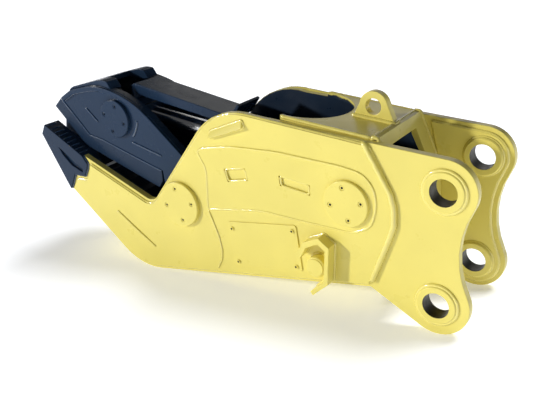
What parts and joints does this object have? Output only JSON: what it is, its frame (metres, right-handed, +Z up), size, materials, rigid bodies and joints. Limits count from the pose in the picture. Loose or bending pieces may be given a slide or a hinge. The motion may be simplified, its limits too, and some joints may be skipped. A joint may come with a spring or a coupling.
{
  "type": "hydraulic pulverizer attachment",
  "caption": "Excavator-mounted hydraulic pulverizer: fixed lower jaw, pivoting upper jaw driven by a cylinder inside a two-plate body, pin ears at the rear.",
  "frame": {"origin": "floor point under the middle of the object's length and width", "axes": "+X from the jaws towards the pin ears, +Y from the near side plate to the far one, +Z up from the floor it rests on"},
  "size_m": [2.2607, 0.6, 0.9105],
  "materials": {
    "yellow_paint": "gloss lemon yellow paint",
    "slate_paint": "satin slate blue paint",
    "tip_steel": "painted wear steel",
    "chrome": "hard chrome",
    "bronze": "machined bronze",
    "pin_steel": "ground steel"
  },
  "bodies": {
    "frame": {"belly_plate": "yellow_paint", "chin_plate": "yellow_paint", "crushing_plate": "tip_steel", "cylinder_rear_pin": "pin_steel", "ear_hub_lower_far": "yellow_paint", "ear_hub_lower_near": "yellow_paint", "ear_hub_upper_far": "yellow_paint", "ear_hub_upper_near": "yellow_paint", "ear_liner_far": "yellow_paint", "ear_liner_near": "yellow_paint", "hose_port_far": "yellow_paint", "hose_port_near": "yellow_paint", "jaw_pivot_pin": "pin_steel", "lifting_lug": "yellow_paint", "lower_bulkhead": "yellow_paint", "lower_jaw_crossbar": "tip_steel", "lower_jaw_tip_far": "tip_steel", "lower_jaw_tip_near": "tip_steel", "pivot_pin_cap_far": "yellow_paint", "pivot_pin_cap_near": "yellow_paint", "pivot_thrust_ring_far": "bronze", "pivot_thrust_ring_near": "bronze", "port_guard_far": "yellow_paint", "port_guard_near": "yellow_paint", "rear_bulkhead": "yellow_paint", "rear_pin_cap_far": "yellow_paint", "rear_pin_cap_near": "yellow_paint", "service_cover_far": "yellow_paint", "service_cover_near": "yellow_paint", "side_plate_far": "yellow_paint", "side_plate_near": "yellow_paint", "skin_plate_far": "yellow_paint", "skin_plate_near": "yellow_paint", "stop_block_far": "yellow_paint", "stop_block_near": "yellow_paint", "top_plate": "yellow_paint"},
    "jaw": {"jaw_blade_far": "tip_steel", "jaw_blade_near": "tip_steel", "jaw_front_plate": "slate_paint", "jaw_pivot_bush_far": "bronze", "jaw_pivot_bush_near": "bronze", "jaw_pivot_tube": "slate_paint", "jaw_plate_far": "slate_paint", "jaw_plate_near": "slate_paint", "jaw_tooth": "tip_steel", "jaw_web": "slate_paint", "rod_pin_boss_far": "slate_paint", "rod_pin_boss_near": "slate_paint", "rod_pin_cap_far": "slate_paint", "rod_pin_cap_near": "slate_paint"},
    "cylinder": {"cylinder_barrel": "slate_paint", "cylinder_eye": "slate_paint", "cylinder_eye_bush": "bronze", "cylinder_gland": "slate_paint"},
    "rod": {"piston_rod": "chrome", "piston": "pin_steel", "rod_eye": "slate_paint", "rod_eye_bush": "bronze", "rod_pin": "pin_steel", "rod_guard": "slate_paint"}
  },
  "joints": [
    {"name": "jaw_hinge", "type": "hinge", "parent": "frame", "child": "jaw", "pos_m": [-0.2415, 0, 0.379], "axis": [0, 1, 0], "range_deg": [0, 50]},
    {"name": "cylinder_hinge", "type": "hinge", "parent": "frame", "child": "cylinder", "pos_m": [0.6215, 0, 0.498], "axis": [0, 1, 0], "range_deg": [-0.2, 16.06]},
    {"name": "rod_slide", "type": "slide", "parent": "cylinder", "child": "rod", "axis": [-0.9838, 0, 0.179], "range_m": [-0.34082, 0.002]}
  ],
  "couplings": [
    {"joint": "cylinder_hinge", "follows": "jaw_hinge", "ratio": 0.31729},
    {"joint": "rod_slide", "follows": "jaw_hinge", "m_per_rad": -0.38826}
  ]
}
